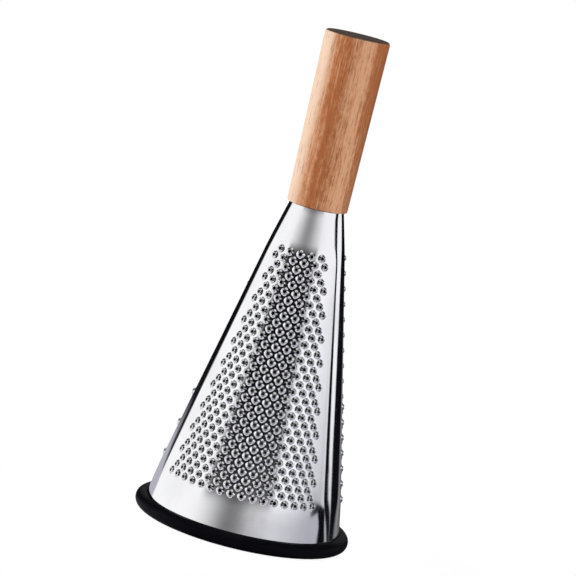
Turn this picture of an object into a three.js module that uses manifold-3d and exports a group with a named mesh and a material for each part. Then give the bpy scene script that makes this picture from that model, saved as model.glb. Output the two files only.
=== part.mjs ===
// Cone grater: a rolled steel cone with three punched grating fields, on a rubber foot ring,
// with a turned wooden handle held by one screw from inside.
// Millimetres, +Z up. The origin is the centre of the foot ring's underside. The fine field faces -Y.

import * as THREE from 'three';
import { mergeVertices } from 'three/addons/utils/BufferGeometryUtils.js';
import ManifoldModule from 'manifold-3d';

const wasm = await ManifoldModule();
wasm.setup();

// Overall
const totalHeight = 280;
const seatGap = 0.3;

// Steel cone, measured on the outside of the sheet
const sheetThickness = 0.6;
const neckRadius = 16.2;
const footRadius = 56.5;
const lapWidth = 6;
const lapStep = 0.15;

// Wooden handle
const handleLength = 96;
const handleTopRadius = 18.1;
const handleShoulderRadius = 16.9;
const handleRoundover = 1.7;
const shoulderEase = 0.6;
const tenonLength = 14;
const tenonChamfer = 1;

// Rubber foot ring
const ringHeight = 8;
const ringFloor = 3;
const ringOuterWall = 3.8;
const ringInnerWall = 3.2;
const ringInnerRound = 1.6;

// Plate that closes the neck, and the screw and washer that pull the handle onto it
const plateThickness = 1.2;
const skirtLength = 7;
const washerRadius = 6;
const washerThickness = 1;
const screwShankRadius = 2.1;
const screwLength = 32;
const screwTipLength = 4;
const screwHeadRadius = 4.4;
const screwHeadHeight = 3;
const recessSpan = 4.6;
const recessWidth = 1.2;
const recessDepth = 1.6;

// Round burrs, the same punch in the fine and the medium field
const burrSides = 4;
const burrHoleRadius = 1.1;
const burrLipRadius = 1.3;
const burrHeight = 0.9;
const burrLand = 0.9;

// Coarse hoods: a tongue that rises from its root to an arched mouth, with a slit above the mouth
const hoodWidth = 7.8;
const hoodReach = 5;
const hoodSlit = 1.1;
const hoodHeight = 2.7;
const hoodRootShare = 0.6;
const hoodArchShare = 0.5;
const hoodShoulderShare = 0.86;
const hoodShoulderRise = 0.25;

// Where the three fields lie on the cone
const fieldFootMargin = 19.5;
const fieldTopMargin = 24.2;
const fieldEdge = 1.5;

const fineFacing = 0;
const fineRowPitch = 4.24;
const fineArcPitch = 6.1;
const fineFootHalfWidth = 46.2;
const fineTopHalfWidth = 14.7;

const mediumFacing = 120;
const mediumRowPitch = 4.24;
const mediumColumnAngle = 11;
const mediumFootHalfAngle = 24.5;
const mediumTopHalfAngle = 18.5;

const coarseFacing = 240;
const coarseFootMargin = 20.6;
const coarseRowPitch = 9.43;
const coarseColumnAngle = 10;
const coarseFootHalfAngle = 27.4;
const coarseTopHalfAngle = 7;

// Facets
const ringFacets = 40;
const handleFacets = 32;
const plateFacets = 24;
const screwFacets = 16;
const plainStep = THREE.MathUtils.degToRad(7.5);
const heightShare = 0.4;
const beadSteps = 6;
const lipSteps = 4;
const roundoverSteps = 4;
const screwHeadSteps = 3;

// Levels and the cone's taper, worked out from the sizes above
const shoulderLevel = totalHeight - handleLength;
const coneTop = shoulderLevel - seatGap;
const coneFoot = ringFloor + seatGap;
const coneSlope = (footRadius - neckRadius) / (coneTop - coneFoot);
const coneAngle = Math.atan(coneSlope);
const wallAcross = sheetThickness / Math.cos(coneAngle);
const tenonEnd = shoulderLevel - tenonLength;
const plateTop = tenonEnd - seatGap;
const plateUnder = plateTop - plateThickness;
const washerTop = plateUnder - seatGap;
const headTop = washerTop - washerThickness - seatGap;
const screwTip = headTop + screwLength;
const screwHoleRadius = screwShankRadius + seatGap;

const coneRadius = (z) => footRadius - coneSlope * (z - coneFoot);
const coneInside = (z) => coneRadius(z) - wallAcross;
const fieldTop = coneTop - fieldTopMargin;

// A closed solid of revolution about Z from an outline of [radius, height] points that runs
// counter-clockwise seen with the axis on the left
function revolve(outline, facets) {
  const points = outline.map(([radius, height]) => new THREE.Vector2(radius, height));
  const geometry = new THREE.LatheGeometry(points, facets);
  geometry.rotateX(Math.PI / 2);
  return weld(geometry);
}

// Joins shared corners and drops the faces that shrink to nothing on the axis
function weld(geometry) {
  geometry.deleteAttribute('normal');
  geometry.deleteAttribute('uv');
  const merged = mergeVertices(geometry, 1e-3);
  const corners = merged.index.array;
  const kept = [];
  for (let i = 0; i < corners.length; i += 3) {
    const [a, b, c] = corners.slice(i, i + 3);
    if (a !== b && b !== c && c !== a) kept.push(a, b, c);
  }
  merged.setIndex(kept);
  return merged;
}

// Points along an elliptical arc, both ends included
function arc(centreR, centreZ, radiusR, radiusZ, fromDegrees, toDegrees, steps) {
  const points = [];
  for (let i = 0; i <= steps; i += 1) {
    const angle = THREE.MathUtils.degToRad(THREE.MathUtils.lerp(fromDegrees, toDegrees, i / steps));
    points.push([centreR + radiusR * Math.cos(angle), centreZ + radiusZ * Math.sin(angle)]);
  }
  return points;
}

function toSolid(geometry) {
  const vertProperties = new Float32Array(geometry.attributes.position.array);
  const triVerts = new Uint32Array(geometry.index.array);
  return new wasm.Manifold(new wasm.Mesh({ numProp: 3, vertProperties, triVerts }));
}

function fromSolid(solid) {
  const mesh = solid.getMesh();
  const geometry = new THREE.BufferGeometry();
  geometry.setAttribute('position', new THREE.BufferAttribute(mesh.vertProperties, 3));
  geometry.setIndex(new THREE.BufferAttribute(mesh.triVerts, 1));
  return geometry;
}

// A point on the cone, at an angle from -Y towards +X, lifted square off the outer face
function wallPoint(angle, z, lift) {
  const radius = coneRadius(z) + lift * Math.cos(coneAngle);
  const height = z + lift * Math.sin(coneAngle);
  return new THREE.Vector3(radius * Math.sin(angle), -radius * Math.cos(angle), height);
}

function insidePoint(angle, z) {
  const radius = coneInside(z);
  return new THREE.Vector3(radius * Math.sin(angle), -radius * Math.cos(angle), z);
}

// The rolled sheet. Its outer and inner faces share one net of triangles: each net corner has an
// outer and an inner point, and each punched feature adds a ring of lip points above its hole.
class Sheet {
  constructor() {
    this.outer = [];
    this.inner = [];
    this.lips = [];
    this.net = [];
    this.features = [];
  }

  corner(outerPoint, innerPoint) {
    this.outer.push(outerPoint);
    this.inner.push(innerPoint);
    return this.outer.length - 1;
  }

  plainCorner(angle, z, lift = 0) {
    return this.corner(wallPoint(angle, z, lift), insidePoint(angle, z));
  }

  // Corners up the cone at the given levels, at an angle and a lift that may change on the way
  line(levels, angleAt, liftAt = () => 0) {
    return levels.map((z) => this.plainCorner(angleAt(z), z, liftAt(z)));
  }

  // Corners round the cone at one height, between two corners that exist
  arcBetween(first, last, fromAngle, toAngle, z) {
    const steps = Math.max(1, Math.ceil((toAngle - fromAngle) / plainStep));
    const corners = [first];
    for (let i = 1; i < steps; i += 1) {
      corners.push(this.plainCorner(THREE.MathUtils.lerp(fromAngle, toAngle, i / steps), z));
    }
    return [...corners, last];
  }

  // Fills the strip between two rows of corners, the lower one first, both running to the right.
  // For two upright lines the right one comes first, and both run upwards.
  stitch(lower, upper) {
    let i = 0;
    let j = 0;
    while (i < lower.length - 1 || j < upper.length - 1) {
      const nextLower = i < lower.length - 1 ? this.span(lower[i + 1], upper[j]) : Infinity;
      const nextUpper = j < upper.length - 1 ? this.span(lower[i], upper[j + 1]) : Infinity;
      if (nextLower < nextUpper) {
        this.net.push([lower[i], lower[i + 1], upper[j]]);
        i += 1;
      } else {
        this.net.push([lower[i], upper[j + 1], upper[j]]);
        j += 1;
      }
    }
  }

  // The distance between two corners, with height counting less than width, because rows lie
  // closer together than they are long
  span(a, b) {
    const [from, to] = [this.outer[a], this.outer[b]];
    return Math.hypot(from.x - to.x, from.y - to.y, heightShare * (from.z - to.z));
  }

  // Twice the area of three corners, positive if they run counter-clockwise seen from outside
  turnOf(a, b, c) {
    const [from, by, to] = [a, b, c].map((corner) => this.outer[corner]);
    const normal = new THREE.Vector3().crossVectors(by.clone().sub(from), to.clone().sub(from));
    return (normal.x * by.x + normal.y * by.y) / Math.hypot(by.x, by.y);
  }

  // Fills the strip between two upright lines that both rise, one of which may zigzag. Corners are
  // taken from the foot upwards, and those that can't be closed yet wait until a later one sees them.
  fringe(right, left) {
    const rising = [
      ...right.map((corner) => ({ corner, side: 1 })),
      ...left.map((corner) => ({ corner, side: -1 })),
    ].sort((a, b) => this.outer[a.corner].z - this.outer[b.corner].z);
    const close = (a, b, c) => this.net.push(this.turnOf(a, b, c) > 0 ? [a, b, c] : [a, c, b]);
    let waiting = rising.slice(0, 2);
    rising.slice(2).forEach((next, i) => {
      const last = i === rising.length - 3;
      if (last || next.side !== waiting.at(-1).side) {
        for (let k = 1; k < waiting.length; k += 1) {
          close(next.corner, waiting[k - 1].corner, waiting[k].corner);
        }
        waiting = [waiting.at(-1), next];
        return;
      }
      let seen = waiting.pop();
      while (waiting.length > 0) {
        const turn = this.turnOf(waiting.at(-1).corner, seen.corner, next.corner) * next.side;
        if (turn <= 0) break;
        close(waiting.at(-1).corner, seen.corner, next.corner);
        seen = waiting.pop();
      }
      waiting.push(seen, next);
    });
  }

  // One punched feature from three rings of [across, up, lift] points, counter-clockwise from the
  // left end: the base on the outer face, the cutting lip and the hole in the inner face
  feature(angle, z, { base, lip, hole, rightEnd }) {
    const place = ([across, up]) => {
      const height = z + up * Math.cos(coneAngle);
      return [angle + across / coneRadius(height), height];
    };
    const ring = base.map((point, i) => {
      const outerPoint = wallPoint(...place(point), 0);
      return this.corner(outerPoint, insidePoint(...place(hole[i])));
    });
    this.features.push({ ring, firstLip: this.lips.length });
    for (const point of lip) this.lips.push(wallPoint(...place(point), point[2]));
    const lower = ring.slice(0, rightEnd + 1);
    const upper = [ring[0], ...ring.slice(rightEnd).reverse()];
    return { lower, upper };
  }

  // The closed body: both faces, the foot and neck edges, and the walls of every feature
  geometry(footLoop, topLoop) {
    const points = [...this.outer, ...this.inner, ...this.lips];
    const innerStart = this.outer.length;
    const lipStart = innerStart + this.inner.length;
    const index = [];
    const quad = (a, b, c, d) => index.push(a, b, c, a, c, d);
    for (const [a, b, c] of this.net) {
      index.push(a, b, c, innerStart + a, innerStart + c, innerStart + b);
    }
    eachPair(footLoop, (a, b) => quad(b, a, innerStart + a, innerStart + b));
    eachPair(topLoop, (a, b) => quad(a, b, innerStart + b, innerStart + a));
    for (const { ring, firstLip } of this.features) {
      ring.forEach((a, i) => {
        const next = (i + 1) % ring.length;
        const b = ring[next];
        const lipA = lipStart + firstLip + i;
        const lipB = lipStart + firstLip + next;
        quad(a, b, lipB, lipA);
        quad(lipA, lipB, innerStart + b, innerStart + a);
      });
    }
    const geometry = new THREE.BufferGeometry();
    geometry.setFromPoints(points);
    geometry.setIndex(index);
    return geometry;
  }
}

// Calls back with each two neighbours of a closed loop
function eachPair(loop, callback) {
  loop.forEach((a, i) => callback(a, loop[(i + 1) % loop.length]));
}

// A round burr: a raised crater whose torn lip is the cutting edge
function burrShape(baseRadius) {
  const ringOf = (radius, lift) => {
    const points = [];
    for (let i = 0; i < burrSides; i += 1) {
      const turn = Math.PI + (2 * Math.PI * i) / burrSides;
      points.push([radius * Math.cos(turn), radius * Math.sin(turn), lift]);
    }
    return points;
  };
  return {
    base: ringOf(baseRadius, 0),
    lip: ringOf(burrLipRadius, burrHeight),
    hole: ringOf(burrHoleRadius, 0),
    rightEnd: Math.round(burrSides / 2),
    halfWidth: baseRadius,
  };
}

// A coarse hood: its lower end stays on the sheet, and its arched lip faces the handle
function hoodShape() {
  const half = hoodWidth / 2;
  const root = half * hoodRootShare;
  const arch = half * hoodArchShare;
  const shoulder = half * hoodShoulderShare;
  const shoulderLift = hoodHeight * hoodShoulderRise;
  const cut = sheetThickness;
  const slitEnd = Math.max(hoodSlit - cut, hoodSlit / 2);
  return {
    base: [[-half, 0], [-root, -hoodReach], [root, -hoodReach], [half, 0], [0, hoodSlit]],
    lip: [
      [-shoulder, 0, shoulderLift],
      [-arch, 0, hoodHeight],
      [arch, 0, hoodHeight],
      [shoulder, 0, shoulderLift],
      [0, slitEnd, cut / 4],
    ],
    hole: [
      [-half + cut, 0],
      [-root + cut, -hoodReach + 2 * cut],
      [root - cut, -hoodReach + 2 * cut],
      [half - cut, 0],
      [0, slitEnd],
    ],
    rightEnd: 3,
    halfWidth: half,
  };
}

// The heights of a field's rows, from its lowest row to the top of the fields
function rowLevels(lowest, rowPitch) {
  const levels = [];
  for (let z = lowest; z <= fieldTop; z += rowPitch) levels.push(z);
  return levels;
}

// Rows with an even spacing along the sheet. Every other row is shifted by half a space.
function evenRows({ lowest, rowPitch, arcPitch, footHalfWidth, topHalfWidth }) {
  const halfWidth = (z) => THREE.MathUtils.mapLinear(z, lowest, fieldTop, footHalfWidth, topHalfWidth);
  const rows = rowLevels(lowest, rowPitch).map((z, row) => {
    const stagger = row % 2 === 0 ? 0.5 : 0;
    const reach = Math.max(Math.floor(halfWidth(z) / arcPitch - stagger), 0) + stagger;
    const angles = [];
    for (let place = -reach; place <= reach; place += 1) angles.push((place * arcPitch) / coneRadius(z));
    return { z, angles };
  });
  return { lowest, rows, halfAngle: (z) => halfWidth(z) / coneRadius(z) };
}

// Rows whose places lie in upright columns. Every other column has a place in each row.
function columnRows({ lowest, rowPitch, columnAngle, footHalfAngle, topHalfAngle }) {
  const halfDegrees = (z) => THREE.MathUtils.mapLinear(z, lowest, fieldTop, footHalfAngle, topHalfAngle);
  const rows = rowLevels(lowest, rowPitch).map((z, row) => {
    const outermost = Math.floor(halfDegrees(z) / columnAngle);
    const angles = [];
    for (let column = -outermost; column <= outermost; column += 1) {
      if ((column + row) % 2 === 0) angles.push(THREE.MathUtils.degToRad(column * columnAngle));
    }
    return { z, angles };
  });
  return { lowest, rows, halfAngle: (z) => THREE.MathUtils.degToRad(halfDegrees(z)) };
}

// The rows of one feature inside straight field edges, stitched into a patch of the sheet
function punchField(sheet, facing, { lowest, rows: layout, halfAngle }, shape) {
  const centre = THREE.MathUtils.degToRad(facing);
  const rows = layout.filter(({ angles }) => angles.length > 0).map(({ z, angles }) => {
    const made = angles.map((angle) => sheet.feature(centre + angle, z, shape));
    const lower = made.flatMap((feature) => feature.lower);
    const upper = made.flatMap((feature) => feature.upper);
    return { reach: angles.at(-1), lower, upper, leftEnd: [lower[0]], rightEnd: [lower.at(-1)] };
  });

  const borderAngle = (z) => {
    const height = THREE.MathUtils.clamp(z, lowest, fieldTop);
    return halfAngle(height) + (shape.halfWidth + fieldEdge) / coneRadius(height);
  };
  // Above the field a collar of close corners keeps the neck round for the plate inside it
  const collar = fieldTop + burrLand + fieldEdge;
  const levels = [coneFoot, lowest, (lowest + fieldTop) / 2, collar, coneTop];
  const left = sheet.line(levels, (z) => centre - borderAngle(z));
  const right = sheet.line(levels, (z) => centre + borderAngle(z));
  const arcAt = (i) => {
    const half = borderAngle(levels[i]);
    return sheet.arcBetween(left[i], right[i], centre - half, centre + half, levels[i]);
  };
  const foot = arcAt(0);
  const collarArc = arcAt(3);
  const top = arcAt(4);
  sheet.stitch(foot, rows[0].lower);
  for (let row = 1; row < rows.length; row += 1) stitchRows(sheet, rows[row - 1], rows[row]);
  sheet.stitch(rows.at(-1).upper, collarArc);
  sheet.stitch(collarArc, top);
  sheet.fringe(rows.flatMap(({ leftEnd }) => leftEnd), left.slice(0, -1));
  sheet.fringe(right.slice(0, -1), rows.flatMap(({ rightEnd }) => rightEnd));
  return { left, right, foot, top, borderAngle, centre };
}

// Fills the strip between two rows of features. A row that reaches further than its neighbour
// leaves the outer side of its last features to the border of the field.
function stitchRows(sheet, below, above) {
  let lower = below.upper;
  let upper = above.lower;
  if (below.reach > above.reach) {
    below.leftEnd.push(lower[1]);
    below.rightEnd.push(lower.at(-2));
    lower = lower.slice(1, -1);
  } else if (above.reach > below.reach) {
    above.leftEnd.unshift(upper[1]);
    above.rightEnd.unshift(upper.at(-2));
    upper = upper.slice(1, -1);
  }
  sheet.stitch(lower, upper);
}

// Upright lines between two edges, close enough to keep the sheet round
function uprights(sheet, startAngle, endAngle) {
  const widest = Math.max(endAngle(coneTop) - startAngle(coneTop), endAngle(coneFoot) - startAngle(coneFoot));
  const steps = Math.max(1, Math.ceil(widest / plainStep));
  const lines = [];
  for (let i = 1; i < steps; i += 1) {
    const angleAt = (z) => THREE.MathUtils.lerp(startAngle(z), endAngle(z), i / steps);
    lines.push(sheet.line([coneFoot, (coneFoot + coneTop) / 2, coneTop], angleAt));
  }
  return lines;
}

// Plain sheet between the right edge of one field and the left edge of the next. A lap seam may
// run up the middle of it.
function plainStrip(sheet, fromField, toField, withLap) {
  const turn = toField.centre < fromField.centre ? 2 * Math.PI : 0;
  const startAngle = (z) => fromField.centre + fromField.borderAngle(z);
  const endAngle = (z) => toField.centre + turn - toField.borderAngle(z);
  const middle = (z) => (startAngle(z) + endAngle(z)) / 2;
  const beside = (offset) => (z) => middle(z) + offset / coneRadius(z);
  const between = withLap
    ? [
      ...uprights(sheet, startAngle, beside(-lapWidth / 2)),
      ...lapLines(sheet, beside),
      ...uprights(sheet, beside(lapWidth / 2), endAngle),
    ]
    : uprights(sheet, startAngle, endAngle);
  const lines = [fromField.right, ...between, toField.left];
  for (let i = 1; i < lines.length; i += 1) sheet.stitch(lines[i], lines[i - 1]);
  return { foot: between.map((line) => line[0]), top: between.map((line) => line.at(-1)) };
}

// The rolled sheet's outer end laps over its inner end: a step on one side, a joggle on the other.
// The lap stops above the foot ring and below the handle, where the sheet has to stay single.
function lapLines(sheet, beside) {
  const foot = ringHeight + seatGap;
  const top = coneTop - sheetThickness;
  const middle = (foot + top) / 2;
  const levels = [coneFoot, foot, foot + sheetThickness, middle, top - sheetThickness, top, coneTop];
  const lapped = (z) => (z > foot && z < top ? sheetThickness : 0);
  const half = lapWidth / 2;
  return [
    sheet.line(levels, beside(-half)),
    sheet.line(levels, beside(-half + lapStep), lapped),
    sheet.line(levels, beside(half - sheetThickness), lapped),
    sheet.line(levels, beside(half)),
  ];
}

function coneGeometry() {
  const fineSpacing = Math.min(fineArcPitch, Math.hypot(fineArcPitch / 2, fineRowPitch / Math.cos(coneAngle)));
  const burr = burrShape((fineSpacing - burrLand) / 2);
  const sheet = new Sheet();
  const fine = punchField(sheet, fineFacing, evenRows({
    lowest: ringHeight + fieldFootMargin,
    rowPitch: fineRowPitch,
    arcPitch: fineArcPitch,
    footHalfWidth: fineFootHalfWidth,
    topHalfWidth: fineTopHalfWidth,
  }), burr);
  const medium = punchField(sheet, mediumFacing, columnRows({
    lowest: ringHeight + fieldFootMargin,
    rowPitch: mediumRowPitch,
    columnAngle: mediumColumnAngle,
    footHalfAngle: mediumFootHalfAngle,
    topHalfAngle: mediumTopHalfAngle,
  }), burr);
  const coarse = punchField(sheet, coarseFacing, columnRows({
    lowest: ringHeight + coarseFootMargin,
    rowPitch: coarseRowPitch,
    columnAngle: coarseColumnAngle,
    footHalfAngle: coarseFootHalfAngle,
    topHalfAngle: coarseTopHalfAngle,
  }), hoodShape());
  const strips = [
    plainStrip(sheet, fine, medium, false),
    plainStrip(sheet, medium, coarse, true),
    plainStrip(sheet, coarse, fine, false),
  ];
  const fields = [fine, medium, coarse];
  const footLoop = fields.flatMap((field, i) => [...field.foot, ...strips[i].foot]);
  const topLoop = fields.flatMap((field, i) => [...field.top, ...strips[i].top]);
  return sheet.geometry(footLoop, topLoop);
}

// Foot ring: a round outer bead, a slot that takes the sheet's lower edge, and a lower inner lip
function ringGeometry() {
  const beadCentre = footRadius + seatGap;
  const inside = coneInside(coneFoot) - seatGap - ringInnerWall;
  const slotOuter = (z) => coneRadius(z) + seatGap;
  const slotInner = (z) => coneInside(z) - seatGap;
  const middle = ringHeight / 2;
  return revolve([
    ...arc(beadCentre, middle, ringOuterWall, middle, -90, 90, beadSteps),
    [slotOuter(ringHeight), ringHeight],
    [slotOuter(ringFloor), ringFloor],
    [slotInner(ringFloor), ringFloor],
    [slotInner(ringHeight), ringHeight],
    ...arc(inside + ringInnerRound, middle, ringInnerRound, middle, 90, 270, lipSteps),
    [beadCentre, 0],
  ], ringFacets);
}

// Handle: a slightly tapered barrel with a tenon that fills the neck and a blind screw hole
function handleGeometry() {
  const tenonRadius = coneInside(coneTop) - seatGap;
  const holeEnd = screwTip + seatGap;
  return revolve([
    [0, holeEnd],
    [screwHoleRadius, holeEnd - screwTipLength],
    [screwHoleRadius, tenonEnd],
    [tenonRadius - tenonChamfer, tenonEnd],
    [tenonRadius, tenonEnd + tenonChamfer],
    [tenonRadius, shoulderLevel],
    [handleShoulderRadius - shoulderEase, shoulderLevel],
    [handleShoulderRadius, shoulderLevel + shoulderEase],
    ...arc(handleTopRadius - handleRoundover, totalHeight - handleRoundover,
      handleRoundover, handleRoundover, 0, 90, roundoverSteps),
    [0, totalHeight],
  ], handleFacets);
}

// Neck plate: a pressed cup whose skirt is welded inside the cone, under the tenon
function plateGeometry() {
  const outside = (z) => coneInside(z) - seatGap;
  const skirtEnd = plateTop - skirtLength;
  return revolve([
    [screwHoleRadius, plateTop],
    [screwHoleRadius, plateUnder],
    [outside(plateUnder) - plateThickness, plateUnder],
    [outside(skirtEnd) - plateThickness, skirtEnd],
    [outside(skirtEnd), skirtEnd],
    [outside(plateTop), plateTop],
    [screwHoleRadius, plateTop],
  ], plateFacets);
}

function washerGeometry() {
  const under = washerTop - washerThickness;
  return revolve([
    [screwHoleRadius, washerTop],
    [screwHoleRadius, under],
    [washerRadius, under],
    [washerRadius, washerTop],
    [screwHoleRadius, washerTop],
  ], screwFacets);
}

// Pan-head wood screw with a cross recess, point upwards
function screwGeometry() {
  const headUnder = headTop - screwHeadHeight;
  const body = toSolid(revolve([
    [0, headUnder],
    ...arc(screwHeadRadius / 2, headTop - screwHeadHeight / 2,
      screwHeadRadius / 2, screwHeadHeight / 2, -90, 0, screwHeadSteps),
    [screwHeadRadius, headTop],
    [screwShankRadius, headTop],
    [screwShankRadius, screwTip - screwTipLength],
    [0, screwTip],
  ], screwFacets));
  const slot = (lengthX, lengthY) => {
    const box = new THREE.BoxGeometry(lengthX, lengthY, 2 * recessDepth);
    box.translate(0, 0, headUnder);
    return toSolid(weld(box));
  };
  const cross = slot(recessSpan, recessWidth).add(slot(recessWidth, recessSpan));
  return fromSolid(body.subtract(cross));
}

const steel = new THREE.MeshStandardMaterial({ color: 0xd0d2d6, roughness: 0.12, metalness: 1, flatShading: true });
const zinc = new THREE.MeshStandardMaterial({ color: 0xb9bcc0, roughness: 0.35, metalness: 1, flatShading: true });
const wood = new THREE.MeshStandardMaterial({ color: 0xb57548, roughness: 0.55, metalness: 0, flatShading: true });
const rubber = new THREE.MeshStandardMaterial({ color: 0x141518, roughness: 0.5, metalness: 0, flatShading: true });

function part(name, geometry, material) {
  const mesh = new THREE.Mesh(geometry, material);
  mesh.name = name;
  return mesh;
}

const grater = new THREE.Group();
grater.add(
  part('grater_cone', coneGeometry(), steel),
  part('base_ring', ringGeometry(), rubber),
  part('handle', handleGeometry(), wood),
  part('neck_plate', plateGeometry(), zinc),
  part('screw_washer', washerGeometry(), zinc),
  part('handle_screw', screwGeometry(), zinc),
);

export default grater;
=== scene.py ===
"""Cone grater: a polished steel cone with three punched fields, a rubber foot ring and a wooden handle."""

import math

import bpy
import numpy as np
from mathutils import Matrix, Vector
from mathutils.kdtree import KDTree


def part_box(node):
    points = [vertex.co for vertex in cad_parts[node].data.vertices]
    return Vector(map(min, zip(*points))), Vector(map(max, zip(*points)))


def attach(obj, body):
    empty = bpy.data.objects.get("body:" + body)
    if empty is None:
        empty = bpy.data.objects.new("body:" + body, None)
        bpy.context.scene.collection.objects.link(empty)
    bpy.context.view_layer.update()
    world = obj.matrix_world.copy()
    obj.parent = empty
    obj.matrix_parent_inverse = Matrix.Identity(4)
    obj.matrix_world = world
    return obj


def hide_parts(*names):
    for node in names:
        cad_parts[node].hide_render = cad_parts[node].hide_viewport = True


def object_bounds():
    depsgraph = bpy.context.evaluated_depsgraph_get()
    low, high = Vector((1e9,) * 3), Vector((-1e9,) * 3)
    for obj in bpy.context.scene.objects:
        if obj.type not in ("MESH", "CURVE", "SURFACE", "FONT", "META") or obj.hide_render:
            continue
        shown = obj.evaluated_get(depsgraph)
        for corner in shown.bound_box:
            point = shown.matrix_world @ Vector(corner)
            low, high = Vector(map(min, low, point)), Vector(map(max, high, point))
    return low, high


bl_info = {
    "name": "Cone Grater",
    "version": (1, 0, 0),
    "blender": (4, 5, 0),
    "location": "View3D > Sidebar > Grater",
    "description": "Builds a polished steel cone grater with a wooden handle around its packed frame",
    "category": "Object",
}

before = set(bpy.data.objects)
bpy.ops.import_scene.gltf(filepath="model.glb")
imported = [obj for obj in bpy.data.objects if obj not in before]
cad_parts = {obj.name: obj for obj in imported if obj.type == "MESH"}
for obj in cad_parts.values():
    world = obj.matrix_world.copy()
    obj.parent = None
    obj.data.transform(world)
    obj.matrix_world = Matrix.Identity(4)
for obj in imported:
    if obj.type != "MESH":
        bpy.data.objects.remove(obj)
CAD_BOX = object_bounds()
CONE_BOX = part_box("grater_cone")
RING_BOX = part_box("base_ring")
HANDLE_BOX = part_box("handle")

MM = 0.001
FULL_TURN = 2 * math.pi
SENSOR_WIDTH = 36.0
MIDDLE_LEVEL = (CAD_BOX[0][2] + CAD_BOX[1][2]) / 2
ON_AXIS = 1e-7
TURNED_SHARP = math.radians(35)


def length(name, description, default):
    """A size in metres that a user may change."""
    return bpy.props.FloatProperty(
        name=name, description=description, default=default, unit="LENGTH", precision=5
    )


def angle(name, description, degrees):
    """An angle that a user may change."""
    return bpy.props.FloatProperty(
        name=name, description=description, default=math.radians(degrees), subtype="ANGLE"
    )


def position(name, description, default):
    """A place in metres that a user may change."""
    return bpy.props.FloatVectorProperty(
        name=name, description=description, default=default, subtype="TRANSLATION", unit="LENGTH", size=3
    )


def factor(name, description, default):
    """A plain number that a user may change."""
    return bpy.props.FloatProperty(name=name, description=description, default=default, precision=4)


def colour(name, description, default):
    """A linear colour that a user may change."""
    return bpy.props.FloatVectorProperty(
        name=name, description=description, default=default, subtype="COLOR", size=3, min=0.0, max=1.0
    )


class SheetSizes(bpy.types.PropertyGroup):
    """Sizes of the rolled steel sheet."""

    foot_radius: length("Foot radius", "Outside radius at the lower edge", 56.5 * MM)
    neck_radius: length("Neck radius", "Outside radius at the upper edge", 16.2 * MM)
    foot_level: length("Foot level", "Height of the lower edge", CONE_BOX[0][2])
    neck_level: length("Neck level", "Height of the upper edge", CONE_BOX[1][2])
    thickness: length("Thickness", "Thickness of the sheet", 0.6 * MM)
    barrel: length("Barrel", "How far the punched height stands out from its two edges", 0.9 * MM)
    drawn_in: length("Drawn in", "How far the two edges lie inside a straight taper", 1.0 * MM)
    crease_share: factor("Crease share", "Height of the soft corners as a share of the radius", 0.0085)
    crease_width: angle("Crease width", "Spread of each soft corner round the cone", 4.2)
    lap_width: length("Lap width", "Width of the lapped seam at the back", 6 * MM)
    weld_radius: length("Weld radius", "Radius of each spot weld on the lap", 1.8 * MM)
    weld_height: length("Weld height", "Height of the ring squeezed up round a spot weld", 0.3 * MM)
    weld_pitch: length("Weld pitch", "Distance between spot welds", 17 * MM)
    tint: colour("Steel", "Colour of the polished steel", (0.93, 0.93, 0.95))


class FieldSizes(bpy.types.PropertyGroup):
    """Layout of the three punched fields."""

    lowest: length("Lowest row", "Height of the lowest row of burrs", 27.5 * MM)
    highest: length("Highest row", "Height that the rows stay under", 159.5 * MM)
    fine_row_pitch: length("Fine row pitch", "Height between rows of the fine field", 4.24 * MM)
    fine_arc_pitch: length("Fine arc pitch", "Spacing along a row of the fine field", 6.1 * MM)
    fine_foot_half: length("Fine foot half width", "Half width of the fine field at its foot", 46.2 * MM)
    fine_top_half: length("Fine top half width", "Half width of the fine field at its top", 14.7 * MM)
    medium_row_pitch: length("Medium row pitch", "Height between rows of the medium field", 4.24 * MM)
    medium_columns: angle("Medium columns", "Angle between columns of the medium field", 11)
    medium_foot_half: angle("Medium foot half angle", "Half angle of the medium field at its foot", 24.5)
    medium_top_half: angle("Medium top half angle", "Half angle of the medium field at its top", 18.5)
    coarse_lowest: length("Lowest hoods", "Height of the lowest row of hoods", 28.6 * MM)
    coarse_row_pitch: length("Coarse row pitch", "Height between rows of the coarse field", 9.43 * MM)
    coarse_columns: angle("Coarse columns", "Angle between columns of the coarse field", 10)
    coarse_foot_half: angle("Coarse foot half angle", "Half angle of the coarse field at its foot", 27.4)
    coarse_top_half: angle("Coarse top half angle", "Half angle of the coarse field at its top", 7)


class PunchSizes(bpy.types.PropertyGroup):
    """Sizes of one burr and one hood."""

    burr_base: length("Burr base", "Radius where a burr leaves the sheet", 2.4 * MM)
    burr_lip: length("Burr lip", "Radius of a burr's cutting lip", 1.12 * MM)
    burr_hole: length("Burr hole", "Radius of a burr's hole", 0.88 * MM)
    burr_flare: length("Burr flare", "Radius of a burr's hole on the inner face", 1.5 * MM)
    burr_height: length("Burr height", "How far a burr stands off the sheet", 1.02 * MM)
    burr_square: factor("Burr squareness", "How far a burr is drawn out to four soft corners", 0.05)
    hood_half: length("Hood half width", "Half width of a coarse hood", 3.9 * MM)
    hood_reach: length("Hood reach", "From a hood's mouth down to its root", 5 * MM)
    hood_slit: length("Hood slit", "From a hood's mouth up to the edge of its slit", 1.1 * MM)
    hood_height: length("Hood height", "How far a hood stands off the sheet", 2.7 * MM)


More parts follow.
